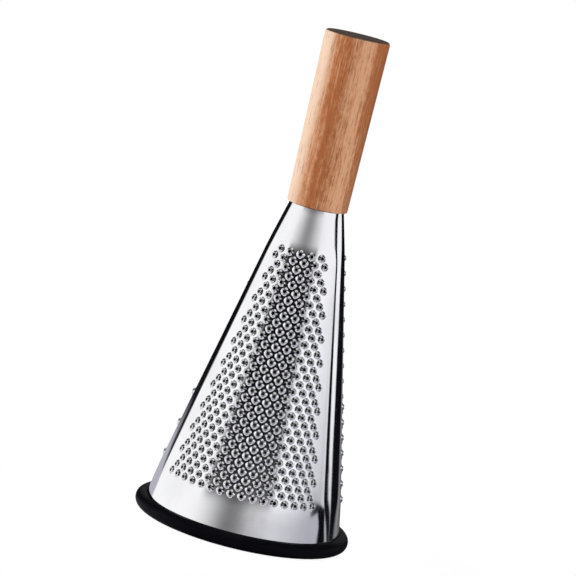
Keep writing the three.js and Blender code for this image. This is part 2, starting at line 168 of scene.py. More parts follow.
class HandleSizes(bpy.types.PropertyGroup):
    """Sizes and colours of the turned handle."""

    top_radius: length("Top radius", "Radius under the rounded end", 18.1 * MM)
    shoulder_radius: length("Shoulder radius", "Radius at the cone", 16.9 * MM)
    roundover: length("Roundover", "Radius of the rounded end", 1.7 * MM)
    shoulder_ease: length("Shoulder ease", "Rounding at the shoulder", 0.6 * MM)
    shoulder_level: length("Shoulder level", "Height where the handle meets the cone", 184 * MM)
    tenon_gap: length("Tenon gap", "Clearance between the tenon and the neck", 0.3 * MM)
    screw_hole: length("Screw hole", "Radius of the blind hole for the screw", 2.4 * MM)
    screw_depth: length("Screw depth", "Depth of the blind hole from the tenon's end", 28.4 * MM)
    band_pitch: length("Band pitch", "Width of a pale and a dark growth band together", 24 * MM)
    band_shift: length("Band shift", "How far the growth bands lie to the left", 2 * MM)
    band_sway: length("Band sway", "How far the growth bands wander", 13 * MM)
    band_slant: factor("Band slant", "How far the growth bands lean for each unit of height", 0.03)
    pale: colour("Pale wood", "Colour of the light growth", (0.66, 0.345, 0.19))
    # Colour of a painted sheen: the paler strip down the handle's left side stands in for the highlight
    # that light from the left lays on it.
    painted_sheen: colour("Painted sheen", "Palest wood down one side", (0.78, 0.56, 0.41))
    brown: colour("Brown wood", "Colour of the dark growth", (0.38, 0.12, 0.037))
    end: colour("End grain", "Colour of the cut end", (0.085, 0.055, 0.042))


class RingSizes(bpy.types.PropertyGroup):
    """Sizes and colour of the rubber foot ring."""

    outer_wall: length("Outer wall", "Width of the round bead", 3.8 * MM)
    inner_wall: length("Inner wall", "Width of the inner lip", 3.2 * MM)
    inner_round: length("Inner round", "Rounding of the inner lip", 1.6 * MM)
    slot_gap: length("Slot gap", "Clearance of the slot round the sheet", 0.3 * MM)
    floor: length("Floor", "Rubber under the sheet's lower edge", 3 * MM)
    tint: colour("Rubber", "Colour of the rubber", (0.0025, 0.0025, 0.004))


class FixingColours(bpy.types.PropertyGroup):
    """Colours of the pieces that hold the handle from inside."""

    plate: colour("Plate", "Colour of the pressed neck plate", (0.66, 0.67, 0.69))
    washer: colour("Washer", "Colour of the zinc washer", (0.60, 0.62, 0.66))
    screw: colour("Screw", "Colour of the zinc screw", (0.62, 0.63, 0.65))


class StageSizes(bpy.types.PropertyGroup):
    """Camera, lamps and floor."""

    azimuth: angle("Azimuth", "Way round from the fine field's middle", 6.75)
    elevation: angle("Elevation", "Height of the camera above level", 8.77)
    lean: angle("Lean", "How far the picture leans", 13.55)
    distance: length("Distance", "From the camera to the middle of the grater", 1.7111)
    lens: factor("Lens", "Focal length in millimetres", 194.6)
    shift_right: factor("Shift right", "Sideways picture shift", -0.0182)
    shift_up: factor("Shift up", "Upward picture shift", -0.0082)
    floor_radius: length("Floor radius", "Radius of the pale floor", 0.34)
    key_power: factor("Key power", "Power of the left lamp in watts", 14.0)
    key_place: position("Key place", "Where the left lamp hangs", (-1.3, -0.12, 0.45))
    key_size: length("Key size", "Width of the left lamp", 0.6)
    fill_power: factor("Fill power", "Power of the right lamp in watts", 8.0)
    fill_place: position("Fill place", "Where the right lamp hangs", (0.8, -1.0, 0.6))
    fill_size: length("Fill size", "Width of the right lamp", 0.7)


class GraterSettings(bpy.types.PropertyGroup):
    """All sizes and colours of the grater."""

    sheet: bpy.props.PointerProperty(type=SheetSizes, name="Sheet", description="Rolled steel sheet")
    fields: bpy.props.PointerProperty(type=FieldSizes, name="Fields", description="Punched fields")
    punch: bpy.props.PointerProperty(type=PunchSizes, name="Punch", description="Burrs and hoods")
    handle: bpy.props.PointerProperty(type=HandleSizes, name="Handle", description="Turned handle")
    ring: bpy.props.PointerProperty(type=RingSizes, name="Ring", description="Rubber foot ring")
    fixing: bpy.props.PointerProperty(type=FixingColours, name="Fixing", description="Handle fixing")
    stage: bpy.props.PointerProperty(type=StageSizes, name="Stage", description="Camera, lamps and floor")


class Wire:
    """A node's output that can stand in a Python expression."""

    def __init__(self, graph, socket):
        self.graph = graph
        self.socket = socket

    def __add__(self, other):
        return self.graph.math("ADD", self, other)

    __radd__ = __add__

    def __sub__(self, other):
        return self.graph.math("SUBTRACT", self, other)

    def __rsub__(self, other):
        return self.graph.math("SUBTRACT", other, self)

    def __mul__(self, other):
        return self.graph.math("MULTIPLY", self, other)

    __rmul__ = __mul__

    def __truediv__(self, other):
        return self.graph.math("DIVIDE", self, other)

    def __rtruediv__(self, other):
        return self.graph.math("DIVIDE", other, self)

    def __neg__(self):
        return self.graph.math("MULTIPLY", self, -1.0)


class Graph:
    """A node tree that is filled by calls and expressions."""

    def __init__(self, tree):
        self.tree = tree
        tree.nodes.clear()

    def node(self, kind, settings=None, inputs=None, output=0):
        """Adds a node, sets it up, fills its inputs and gives one of its outputs."""
        node = self.tree.nodes.new(kind)
        for name, value in (settings or {}).items():
            if name == "stops":
                self.set_stops(node.color_ramp, value)
            else:
                setattr(node, name, value)
        for key, value in (inputs or {}).items():
            self.fill(node.inputs[key], value)
        return Wire(self, node.outputs[output]) if node.outputs else node

    def fill(self, socket, value):
        if isinstance(value, Wire):
            self.tree.links.new(value.socket, socket)
        else:
            socket.default_value = value

    def set_stops(self, ramp, stops):
        while len(ramp.elements) < len(stops):
            ramp.elements.new(1.0)
        for element, (stop, tone) in zip(ramp.elements, sorted(stops)):
            element.position = stop
            element.color = opaque(tone)

    def math(self, operation, *values):
        return self.node("ShaderNodeMath", {"operation": operation}, dict(enumerate(values)))

    def largest(self, value, *others):
        for other in others:
            value = self.math("MAXIMUM", value, other)
        return value

    def vector(self, x, y, z):
        return self.node("ShaderNodeCombineXYZ", inputs={"X": x, "Y": y, "Z": z})

    def parts(self, vector):
        split = self.node("ShaderNodeSeparateXYZ", inputs={"Vector": vector}).socket.node
        return [Wire(self, socket) for socket in split.outputs]

    def blend(self, share, first, second):
        """A colour between two colours."""
        return self.node("ShaderNodeMix", {"data_type": "RGBA"}, {0: share, 6: first, 7: second}, 2)

    def smooth(self, value, start, end):
        """Rises softly from 0 to 1, or falls where the end lies below the start."""
        rising = {"From Min": min(start, end), "From Max": max(start, end)}
        ends = {"To Min": 0.0, "To Max": 1.0} if start < end else {"To Min": 1.0, "To Max": 0.0}
        return self.node(
            "ShaderNodeMapRange", {"interpolation_type": "SMOOTHSTEP"}, {"Value": value, **rising, **ends}
        )

    def hump(self, value, middle, spread):
        """Rises softly to 1 at the middle and falls off to both sides."""
        apart = (value - middle) / spread
        return self.math("EXPONENT", -(apart * apart))

    def noise(self, vector, scale, detail, roughness=0.5):
        return self.node(
            "ShaderNodeTexNoise",
            {"noise_dimensions": "3D"},
            {"Vector": vector, "Scale": scale, "Detail": detail, "Roughness": roughness},
        )

    def grain(self, vector, across, along, detail, roughness=0.5):
        """Noise drawn out up the piece, with its own scale across the piece and along it."""
        scale = (across, across, along)
        drawn_out = self.node("ShaderNodeMapping", inputs={"Vector": vector, "Scale": scale})
        return self.noise(drawn_out, 1.0, detail, roughness)

    def bump(self, height, strength, depth):
        """A normal that follows a height."""
        return self.node(
            "ShaderNodeBump", inputs={"Strength": strength, "Distance": depth, "Height": height}
        )


def material_graph(name):
    """A new node material, and its graph."""
    material = bpy.data.materials.new(name)
    material.use_nodes = True
    return material, Graph(material.node_tree)


def finish_material(graph, constants, varying):
    """A Principled shader with fixed sockets and sockets that change over the surface."""
    shader = graph.node("ShaderNodeBsdfPrincipled", inputs={**constants, **varying})
    graph.node("ShaderNodeOutputMaterial", inputs={"Surface": shader})


def opaque(tone, share=1.0):
    """A colour, or a share of it, as a colour socket takes it."""
    return (*(share * part for part in tone), 1.0)


def object_place(graph):
    """Object coordinates, which follow the piece."""
    return graph.node("ShaderNodeTexCoord", output="Object")


def polished_steel(tint):
    """Mirror-polished sheet with faint hairlines and a slight waviness, left dull inside and darkened
    there with painted shade.
    """
    material, graph = material_graph("polished_steel")
    place = object_place(graph)
    inside = graph.node("ShaderNodeAttribute", {"attribute_name": "inside"}, output="Fac")
    hairlines = graph.grain(place, across=900.0, along=60.0, detail=3.0)
    smears = graph.noise(place, 45.0, detail=3.0)
    waves = graph.noise(place, 70.0, detail=1.0)
    tone = graph.blend(graph.smooth(smears, 0.4, 0.75), opaque(tint), opaque(tint, 0.93))
    # Painted shade: the inner face is darkened almost to black, standing in for the shade inside the cone.
    tone = graph.blend(inside, tone, opaque(tint, 0.03))
    polish = 0.035 + 0.04 * hairlines + 0.05 * graph.smooth(smears, 0.45, 0.8)
    finish_material(graph, {"Metallic": 1.0}, {
        "Base Color": tone,
        "Roughness": polish + 0.25 * inside,
        "Normal": graph.bump(waves, strength=0.05, depth=0.6 * MM),
    })
    return material


def plain_steel(name, tint, specks):
    """Unpolished steel with a fine dull grain, by its specks per metre."""
    material, graph = material_graph(name)
    place = object_place(graph)
    speckle = graph.noise(place, specks, detail=4.0)
    stains = graph.noise(place, specks / 12, detail=2.0)
    tone = graph.blend(graph.smooth(stains, 0.35, 0.75), opaque(tint), opaque(tint, 0.72))
    finish_material(graph, {"Metallic": 1.0}, {
        "Base Color": tone,
        "Roughness": 0.24 + 0.2 * speckle,
        "Normal": graph.bump(speckle, strength=0.15, depth=0.2 * MM),
    })
    return material


def turned_wood(handle, top_level):
    """Oiled hardwood: slanting growth bands, fine dark pores along the grain, a dark cut end and a painted
    sheen down the left side.
    """
    material, graph = material_graph("turned_wood")
    place = object_place(graph)
    x, _, z = graph.parts(place)
    middle = (handle.shoulder_level + top_level) / 2
    sway = graph.grain(place, across=40.0, along=9.0, detail=2.0)
    across = x + handle.band_slant * (z - middle) + (sway - 0.5) * handle.band_sway
    bands = graph.math("COSINE", (across + handle.band_shift) * (FULL_TURN / handle.band_pitch))
    streaks = graph.grain(place, across=620.0, along=16.0, detail=4.0, roughness=0.65)
    mottle = graph.grain(place, across=420.0, along=190.0, detail=4.0, roughness=0.7)
    fibres = graph.grain(place, across=2600.0, along=400.0, detail=3.0, roughness=0.7)
    figure = (streaks - 0.5) * 2.5 + (mottle - 0.5) * 1.7 + (fibres - 0.5) * 1.3
    heartwood = graph.smooth(across, 10.5 * MM, 16.0 * MM)
    growth = graph.smooth(bands * 0.5 + 0.02 + 0.45 * heartwood + figure, -0.62, 0.72)
    # Painted sheen: the wood turns paler down the left side to stand in for the highlight of the light
    # from the left.
    painted_sheen = graph.smooth(x, -7.0 * MM, -14.5 * MM)
    pores = graph.grain(place, across=1700.0, along=110.0, detail=2.0, roughness=0.6)
    fleck = graph.smooth(pores, 0.55, 0.70)
    cut_end = graph.smooth(z, top_level - 0.9 * MM, top_level - 0.3 * MM)
    tone = graph.blend(growth, opaque(handle.pale), opaque(handle.brown))
    tone = graph.blend(painted_sheen, tone, opaque(handle.painted_sheen))
    tone = graph.blend(fleck * 0.55, tone, opaque(handle.brown, 0.4))
    tone = graph.blend(cut_end, tone, opaque(handle.end))
    finish_material(graph, {"Specular IOR Level": 0.22}, {
        "Base Color": tone,
        "Roughness": 0.46 + 0.16 * streaks + 0.1 * cut_end,
        "Normal": graph.bump(1.0 - fleck, strength=0.25, depth=0.2 * MM),
    })
    return material


def foot_rubber(tint):
    """Satin moulded rubber with a fine matt skin and a little dust."""
    material, graph = material_graph("foot_rubber")
    place = object_place(graph)
    skin = graph.noise(place, 1800.0, detail=2.0)
    dust = graph.noise(place, 60.0, detail=4.0)
    dusty = [part + 0.003 for part in tint]
    tone = graph.blend(graph.smooth(dust, 0.5, 0.85), opaque(tint), opaque(dusty))
    finish_material(graph, {"Specular IOR Level": 0.03}, {
        "Base Color": tone,
        "Roughness": 0.36 + 0.12 * dust,
        "Normal": graph.bump(skin, strength=0.12, depth=0.1 * MM),
    })
    return material


class ConeWall:
    """The sheet's outer face: a straight taper that the press left a little barrelled and creased."""

    CREASES = (math.radians(60), math.radians(180), math.radians(300))
    # Shares of the plain margin at the foot and the neck that rise straight and that bend over
    FOOT_BEND = (0.62, 0.56)
    NECK_BEND = (0.8, 0.3)

    def __init__(self, sheet, fields):
        self.sheet = sheet
        self.fields = fields
        self.slope = (sheet.foot_radius - sheet.neck_radius) / (sheet.neck_level - sheet.foot_level)
        self.lean = math.atan(self.slope)

    def radius(self, level):
        return self.sheet.foot_radius - self.slope * (level - self.sheet.foot_level)

    def place(self, turn, level, across=0.0, up=0.0, lift=0.0):
        """The point so far across, up and off the wall from an angle and a level on it."""
        height = level + up * math.cos(self.lean)
        radius = self.radius(height)
        turn = turn + across / radius
        reach = radius + lift * math.cos(self.lean)
        return (reach * math.sin(turn), -reach * math.cos(turn), height + lift * math.sin(self.lean))

    def swell(self, turn, level):
        """How far the pressed sheet stands off the straight taper."""
        corners = 0.0
        for crease in self.CREASES:
            apart = np.angle(np.exp(1j * (turn - crease)))
            corners = corners + np.exp(-0.5 * (apart / self.sheet.crease_width) ** 2)
        ridge = self.sheet.crease_share * self.radius(level) * corners
        return self.fullness(level) * (self.sheet.barrel + ridge) - self.sheet.drawn_in

    def fullness(self, level):
        """From 0 at the two edges of the sheet to 1 over the punched height."""
        sheet, fields = self.sheet, self.fields
        low = self.rise(level - sheet.foot_level, fields.lowest - sheet.foot_level, *self.FOOT_BEND)
        high = self.rise(sheet.neck_level - level, sheet.neck_level - fields.highest, *self.NECK_BEND)
        return low * high

    def rise(self, distance, margin, straight_share, bend_share):
        """From 0 at an edge, straight at first, then bending to a level 1."""
        straight, bend = straight_share * margin, bend_share * margin
        along = np.clip(distance, 0.0, straight + bend)
        bent = np.maximum(along - straight, 0.0)
        return (along - bent * bent / (2 * bend)) / (straight + bend / 2)

    def drawn_radius(self, level):
        """The sheet's outside radius between its soft corners."""
        return self.radius(level) + self.fullness(level) * self.sheet.barrel - self.sheet.drawn_in

    def pressed(self, points):
        """Moves points of the straight taper out to the pressed shape."""
        turn = np.arctan2(points[:, 0], -points[:, 1])
        outward = np.stack([np.sin(turn), -np.cos(turn), np.zeros(len(turn))], axis=1)
        return points + outward * self.swell(turn, points[:, 2])[:, None]

    def normals(self, points):
        """Outward normals of the pressed wall beside some points."""
        turn = np.arctan2(points[:, 0], -points[:, 1])
        level = points[:, 2]
        step = 1e-5

        def reach(a, z):
            return self.radius(z) + self.swell(a, z)

        here = reach(turn, level)
        by_turn = (reach(turn + step, level) - reach(turn - step, level)) / (2 * step)
        by_level = (reach(turn, level + step) - reach(turn, level - step)) / (2 * step)
        sine, cosine = np.sin(turn), np.cos(turn)
        normal = np.stack([
            here * sine - by_turn * cosine, -here * cosine - by_turn * sine, -here * by_level
        ], axis=1)
        return normal / np.linalg.norm(normal, axis=1)[:, None]


class SheetNet:
    """The net of triangles that the sheet's two faces share, with a hole at each punched place."""

    PLAIN_STEP = math.radians(1.25)
    LEVEL_SHARE = 0.4
    ROUND_OFF = 1e-6

    def __init__(self, wall):
        self.wall = wall
        self.outer = []
        self.inner = []
        self.turns = []
        self.levels = []
        self.triangles = []

    def corner(self, turn, level, across=0.0, up=0.0, inner_across=0.0, inner_up=0.0):
        """Adds a corner to both faces, so far from a place on each, and gives its number."""
        wall = self.wall
        self.outer.append(wall.place(turn, level, across, up))
        self.inner.append(wall.place(turn, level, inner_across, inner_up, -wall.sheet.thickness))
        self.turns.append(turn + across / wall.radius(level))
        self.levels.append(level + up)
        return len(self.outer) - 1

    def plain_between(self, start, end, level):
        """Corners along a row, between two angles that have corners of their own."""
        steps = math.ceil((end - start) / self.PLAIN_STEP - self.ROUND_OFF)
        return [self.corner(start + (end - start) * i / steps, level) for i in range(1, steps)]

    def row(self, level, left, right, places=(), outline=(), inner_outline=()):
        """One row of corners from left to right. Its two sides part round each hole."""
        lower = [self.corner(left, level)]
        upper = list(lower)
        reached = left
        half = len(outline) // 2
        for turn in places:
            reach = -outline[0][0] / self.wall.radius(level)
            between = self.plain_between(reached, turn - reach, level)
            ring = [self.corner(turn, level, *edge, *inner) for edge, inner in zip(outline, inner_outline)]
            lower += between + ring[: half + 1]
            upper += between + [ring[0]] + ring[half:][::-1]
            reached = turn + reach
        end = self.plain_between(reached, right, level) + [self.corner(right, level)]
        return lower + end, upper + end

    def apart(self, first, second):
        """How far apart two corners lie on the sheet, with height counting less than width."""
        turn = math.remainder(self.turns[first] - self.turns[second], FULL_TURN)
        width = turn * self.wall.radius(self.levels[first])
        return math.hypot(width, self.LEVEL_SHARE * (self.levels[first] - self.levels[second]))

    def stitch(self, lower, upper):
        """Fills the strip between two lines of corners with triangles of short diagonals.

        The lower of two rows comes first, or the right one of two upright lines.
        """
        i = j = 0
        while i < len(lower) - 1 or j < len(upper) - 1:
            lower_next = j == len(upper) - 1
            if not lower_next and i < len(lower) - 1:
                lower_next = self.apart(lower[i + 1], upper[j]) < self.apart(lower[i], upper[j + 1])
            if lower_next:
                self.triangles.append((lower[i], lower[i + 1], upper[j]))
                i += 1
            else:
                self.triangles.append((lower[i], upper[j + 1], upper[j]))
                j += 1


class PunchedField:
    """Staggered rows of one punched shape on a third of the cone."""

    PLAIN_ROW = 4 * MM
    HALF_SECTOR = math.radians(59.5)

    def __init__(self, wall, facing, rows, outline, inner_outline):
        self.wall = wall
        self.facing = math.radians(facing)
        self.outline = outline
        self.inner_outline = inner_outline
        self.rows = [(level, self.facing + offsets) for level, offsets in rows]

    def places(self):
        """The angle and level of every punched place."""
        return [(turn, level) for level, turns in self.rows for turn in turns]

    def levels_between(self, start, end):
        """Levels of plain rows that fill a height, its two ends left out."""
        steps = max(1, round((end - start) / self.PLAIN_ROW))
        return [start + (end - start) * i / steps for i in range(1, steps)]

    def fill(self, net):
        """Fills this third of the net, and gives its rows of corners from the foot to the neck."""
        sheet = self.wall.sheet
        left = self.facing - self.HALF_SECTOR
        right = self.facing + self.HALF_SECTOR
        down = -min(up for _, up in self.outline)
        above = max(up for _, up in self.outline)
        made = [net.row(sheet.foot_level, left, right)]
        previous = sheet.foot_level
        for level, turns in self.rows:
            room = level - down - previous
            if room > self.PLAIN_ROW / 2:
                for plain_level in self.levels_between(previous, level - down):
                    made.append(net.row(plain_level, left, right))
            made.append(net.row(level, left, right, turns, self.outline, self.inner_outline))
            previous = level + above
        for plain_level in self.levels_between(previous, sheet.neck_level):
            made.append(net.row(plain_level, left, right))
        made.append(net.row(sheet.neck_level, left, right))
        for (_, below), (lower, _) in zip(made, made[1:]):
            net.stitch(below, lower)
        return made


def row_levels(lowest, highest, pitch):
    """Each row's number, its level and its share of the way up the field."""
    for row in range(math.floor((highest - lowest) / pitch) + 1):
        level = lowest + row * pitch
        yield row, level, (level - lowest) / (highest - lowest)


def even_rows(wall, lowest, highest, pitch, arc_pitch, foot_half, top_half):
    """Rows with an even spacing along the sheet, and the angles of their places."""
    rows = []
    for row, level, share in row_levels(lowest, highest, pitch):
        half = foot_half + (top_half - foot_half) * share
        stagger = 0.5 if row % 2 == 0 else 0.0
        reach = max(math.floor(half / arc_pitch - stagger), 0) + stagger
        rows.append((level, np.arange(-reach, reach + 0.25) * arc_pitch / wall.radius(level)))
    return rows


def column_rows(lowest, highest, pitch, column, foot_half, top_half):
    """Rows whose places lie in upright columns, every other column in each row."""
    rows = []
    for row, level, share in row_levels(lowest, highest, pitch):
        half = foot_half + (top_half - foot_half) * share
        outermost = math.floor(half / column)
        numbers = [i for i in range(-outermost, outermost + 1) if (i + row) % 2 == 0]
        rows.append((level, np.array(numbers, dtype=float) * column))
    return rows


def burr_outline(radius, sides, square=0.0):
    """A hole's corners, counter-clockwise from its left end, round or drawn out to four soft corners."""
    turns = [math.pi + FULL_TURN * i / sides for i in range(sides)]
    reach = [radius * (1 + square * math.cos(4 * turn)) for turn in turns]
    return [(out * math.cos(turn), out * math.sin(turn)) for out, turn in zip(reach, turns)]


def hood_outline(half, reach, slit, sides):
    """A hood's opening: a deep round root below the mouth and a shallow slit above it."""
    turns = [math.pi + FULL_TURN * i / sides for i in range(sides)]
    return [
        (half * math.cos(turn), (reach if math.sin(turn) < 0 else slit) * math.sin(turn)) for turn in turns
    ]


class PunchTree:
    """Geometry Nodes that set one punched shape on every place of a field and lay it on the cone."""

    MERGE_DISTANCE = 1e-5

    def __init__(self, name, wall, material, sizes):
        self.tree = bpy.data.node_groups.new(name, "GeometryNodeTree")
        self.graph = Graph(self.tree)
        interface = self.tree.interface
        interface.new_socket("Places", in_out="INPUT", socket_type="NodeSocketGeometry")
        interface.new_socket("Punched", in_out="OUTPUT", socket_type="NodeSocketGeometry")
        self.values = {}
        sizes = {
            **sizes,
            "Foot radius": wall.sheet.foot_radius,
            "Foot level": wall.sheet.foot_level,
            "Wall slope": wall.slope,
            "Sheet thickness": wall.sheet.thickness,
        }
        for size, value in sizes.items():
            item = interface.new_socket(size, in_out="INPUT", socket_type="NodeSocketFloat")
            self.values[item.identifier] = value
        item = interface.new_socket("Steel", in_out="INPUT", socket_type="NodeSocketMaterial")
        self.values[item.identifier] = material
        sockets = self.tree.nodes.new("NodeGroupInput").outputs
        self.inputs = {socket.name: Wire(self.graph, socket) for socket in sockets if socket.name}

    def ring_wall(self, sides, rings, shape):
        """A closed band of rings, shaped by a function of the angle and the share from the first ring."""
        graph = self.graph
        grid = graph.node(
            "GeometryNodeMeshGrid",
            inputs={"Size X": 1.0, "Size Y": 1.0, "Vertices X": sides + 1, "Vertices Y": rings},
        )
        x, y, _ = graph.parts(graph.node("GeometryNodeInputPosition"))
        place = graph.vector(*shape((x + 0.5) * FULL_TURN, y + 0.5))
        return graph.node("GeometryNodeSetPosition", inputs={"Geometry": grid, "Position": place})

    def close(self, bands):
        """Joins the bands, repeats them on the places and rolls the result onto the cone."""
        graph = self.graph
        join = self.tree.nodes.new("GeometryNodeJoinGeometry")
        for band in bands:
            self.tree.links.new(band.socket, join.inputs[0])
        shape = graph.node(
            "GeometryNodeMergeByDistance",
            inputs={"Geometry": Wire(graph, join.outputs[0]), "Distance": self.MERGE_DISTANCE},
        )
        repeated = graph.node(
            "GeometryNodeInstanceOnPoints", inputs={"Points": self.inputs["Places"], "Instance": shape}
        )
        flat = graph.node("GeometryNodeRealizeInstances", inputs={"Geometry": repeated})
        turn = graph.node("GeometryNodeInputNamedAttribute", inputs={"Name": "place_turn"})
        level = graph.node("GeometryNodeInputNamedAttribute", inputs={"Name": "place_level"})
        across, up, lift = graph.parts(graph.node("GeometryNodeInputPosition"))
        lean = graph.math("ARCTANGENT", self.inputs["Wall slope"])
        upright = graph.math("COSINE", lean)
        height = level + up * upright
        above_foot = height - self.inputs["Foot level"]
        radius = self.inputs["Foot radius"] - self.inputs["Wall slope"] * above_foot
        angle_here = turn + across / radius
        reach = radius + lift * upright
        rolled = graph.vector(
            reach * graph.math("SINE", angle_here),
            -(reach * graph.math("COSINE", angle_here)),
            height + lift * graph.math("SINE", lean),
        )
        laid = graph.node("GeometryNodeSetPosition", inputs={"Geometry": flat, "Position": rolled})
        finished = graph.node(
            "GeometryNodeSetMaterial", inputs={"Geometry": laid, "Material": self.inputs["Steel"]}
        )
        output = self.tree.nodes.new("NodeGroupOutput")
        self.tree.links.new(finished.socket, output.inputs["Punched"])

    def run(self, places):
        """The finished mesh's points, faces and normals."""
        mesh = bpy.data.meshes.new("punched_places")
        mesh.from_pydata([(0.0, 0.0, 0.0)] * len(places), [], [])
        for name, column in (("place_turn", 0), ("place_level", 1)):
            layer = mesh.attributes.new(name, "FLOAT", "POINT")
            layer.data.foreach_set("value", [place[column] for place in places])
        carrier = bpy.data.objects.new("punched_places", mesh)
        bpy.context.scene.collection.objects.link(carrier)
        modifier = carrier.modifiers.new("Punch", "NODES")
        modifier.node_group = self.tree
        for identifier, value in self.values.items():
            modifier[identifier] = value
        graph = bpy.context.evaluated_depsgraph_get()
        result = bpy.data.meshes.new_from_object(carrier.evaluated_get(graph))
        points = np.array([tuple(vertex.co) for vertex in result.vertices])
        normals = np.array([tuple(normal.vector) for normal in result.vertex_normals])
        faces = [tuple(polygon.vertices) for polygon in result.polygons]
        bpy.data.objects.remove(carrier)
        bpy.data.meshes.remove(mesh)
        bpy.data.meshes.remove(result)
        if not faces:
            raise RuntimeError(f"{self.tree.name} made no faces")
        return points, faces, normals


BURR_SIDES = 12
HOOD_SIDES = 20
WELD_SIDES = 16


def around(graph, turn, radius, lift):
    """The place on a round punched shape at an angle, a radius and a lift off the sheet."""
    return radius * graph.math("COSINE", turn), radius * graph.math("SINE", turn), lift


def burr_tree(wall, punch, material):
    """A raised crater: a flank that flares out of the sheet, a torn lip and a throat."""
    tree = PunchTree("punched_burrs", wall, material, {
        "Base radius": punch.burr_base,
        "Lip radius": punch.burr_lip,
        "Hole radius": punch.burr_hole,
        "Flare radius": punch.burr_flare,
        "Burr height": punch.burr_height,
        "Squareness": punch.burr_square,
    })
    graph, size = tree.graph, tree.inputs
    root_slope = 0.38
    lip_depth = 0.12

    def flank(turn, share):
        base = size["Base radius"] * (1.0 + size["Squareness"] * graph.math("COSINE", turn * 4.0))
        radius = base + (size["Lip radius"] - base) * share
        lift = size["Burr height"] * (root_slope * share + (1.0 - root_slope) * share * share)
        return around(graph, turn, radius, lift)

    def throat(turn, share):
        narrow = graph.math("MINIMUM", share * 2.0, 1.0)
        open_out = graph.largest(share * 2.0 - 1.0, 0.0)
        radius = size["Lip radius"] + (size["Hole radius"] - size["Lip radius"]) * narrow
        radius = radius + (size["Flare radius"] - size["Hole radius"]) * open_out
        drop = lip_depth * narrow + (1.0 - lip_depth) * open_out
        lift = size["Burr height"] - (size["Burr height"] + size["Sheet thickness"]) * drop
        return around(graph, turn, radius, lift)

    tree.close([
        tree.ring_wall(BURR_SIDES, rings=4, shape=flank),
        tree.ring_wall(BURR_SIDES, rings=3, shape=throat),
    ])
    return tree


def weld_tree(wall, material):
    """A spot weld: a low squeezed-up ring round a shallow dimple, on top of the lap."""
    tree = PunchTree("spot_welds", wall, material, {
        "Weld radius": wall.sheet.weld_radius,
        "Weld height": wall.sheet.weld_height,
    })
    graph, size = tree.graph, tree.inputs
    sunk = size["Sheet thickness"] * 0.75
    rim_share = 0.12
    half_waves = 2.2
    dimple_wave = 1.3

    def crown(turn, share):
        radius = size["Weld radius"] * (1.0 - share)
        wave = graph.math("MINIMUM", share * half_waves, dimple_wave)
        lift = size["Sheet thickness"] + size["Weld height"] * graph.math("SINE", wave * math.pi)
        lift = lift + (sunk - size["Sheet thickness"]) * graph.smooth(share, rim_share, 0.0)
        return around(graph, turn, radius, lift)

    def underside(turn, share):
        return around(graph, turn, size["Weld radius"] * share, sunk)

    tree.close([
        tree.ring_wall(WELD_SIDES, rings=8, shape=crown),
        tree.ring_wall(WELD_SIDES, rings=2, shape=underside),
    ])
    return tree


def hood_tree(wall, punch, material):
    """A scoop: a quarter of an egg with its mouth towards the handle, over an opening in the sheet."""
    tree = PunchTree("punched_hoods", wall, material, {
        "Half width": punch.hood_half,
        "Reach": punch.hood_reach,
        "Slit": punch.hood_slit,
        "Hood height": punch.hood_height,
    })
    graph, size = tree.graph, tree.inputs
    wall_cut = size["Sheet thickness"]
    lip_drop = 0.2

    def scoop(turn, share, inset, sunk):
        sine = graph.math("SINE", turn)
        below = graph.largest(-sine, 0.0)
        above = graph.largest(sine, 0.0)
        swing = share * (math.pi / 2)
        across = (size["Half width"] - inset) * graph.math("COSINE", turn)
        up = above * (size["Slit"] - inset) - below * (size["Reach"] - inset) * graph.math("COSINE", swing)
        lift = below * (size["Hood height"] - inset) * graph.math("SINE", swing) - sunk
        return across, up, lift

    def outside(turn, share):
        return scoop(turn, share, 0.0, 0.0)

    def lip(turn, share):
        return scoop(turn, 1.0, wall_cut * share, wall_cut * share * lip_drop)

    def inside(turn, share):
        return scoop(turn, 1.0 - share, wall_cut, wall_cut * (lip_drop + (1.0 - lip_drop) * share))

    tree.close([
        tree.ring_wall(HOOD_SIDES, rings=5, shape=outside),
        tree.ring_wall(HOOD_SIDES, rings=2, shape=lip),
        tree.ring_wall(HOOD_SIDES, rings=5, shape=inside),
    ])
    return tree


def link_piece(name, mesh, material):
    """A finished piece at the origin with one material."""
    mesh.name = name
    mesh.materials.clear()
    mesh.materials.append(material)
    piece = bpy.data.objects.new(name, mesh)
    bpy.context.scene.collection.objects.link(piece)
    return piece


def turned_mesh(name, profile, segments):
    """A closed solid of revolution from (radius, height) points, with the axis on their left.

    The points run counter-clockwise, and one on the axis becomes a single pole.
    """
    points, rings = [], []
    for radius, height in profile:
        if radius < ON_AXIS:
            rings.append([len(points)] * segments)
            points.append((0.0, 0.0, height))
            continue
        rings.append(list(range(len(points), len(points) + segments)))
        for i in range(segments):
            turn = FULL_TURN * i / segments
            points.append((radius * math.cos(turn), radius * math.sin(turn), height))
    pairs = list(zip(rings, rings[1:]))
    if profile[0][0] >= ON_AXIS:
        pairs.append((rings[-1], rings[0]))
    faces = []
    for first, second in pairs:
        for i in range(segments):
            after = (i + 1) % segments
            face = [first[i], first[after], second[after], second[i]]
            faces.append(list(dict.fromkeys(face)))
    mesh = bpy.data.meshes.new(name)
    mesh.from_pydata(points, [], faces)
    mesh.shade_smooth()
    mesh.set_sharp_from_angle(angle=TURNED_SHARP)
    return mesh


def arc(centre, height, radius, rise, start, end, steps):
    """Profile points along an elliptical arc, both ends included, angles in degrees."""
    turns = np.radians(np.linspace(start, end, steps + 1))
    return [(centre + radius * math.cos(turn), height + rise * math.sin(turn)) for turn in turns]


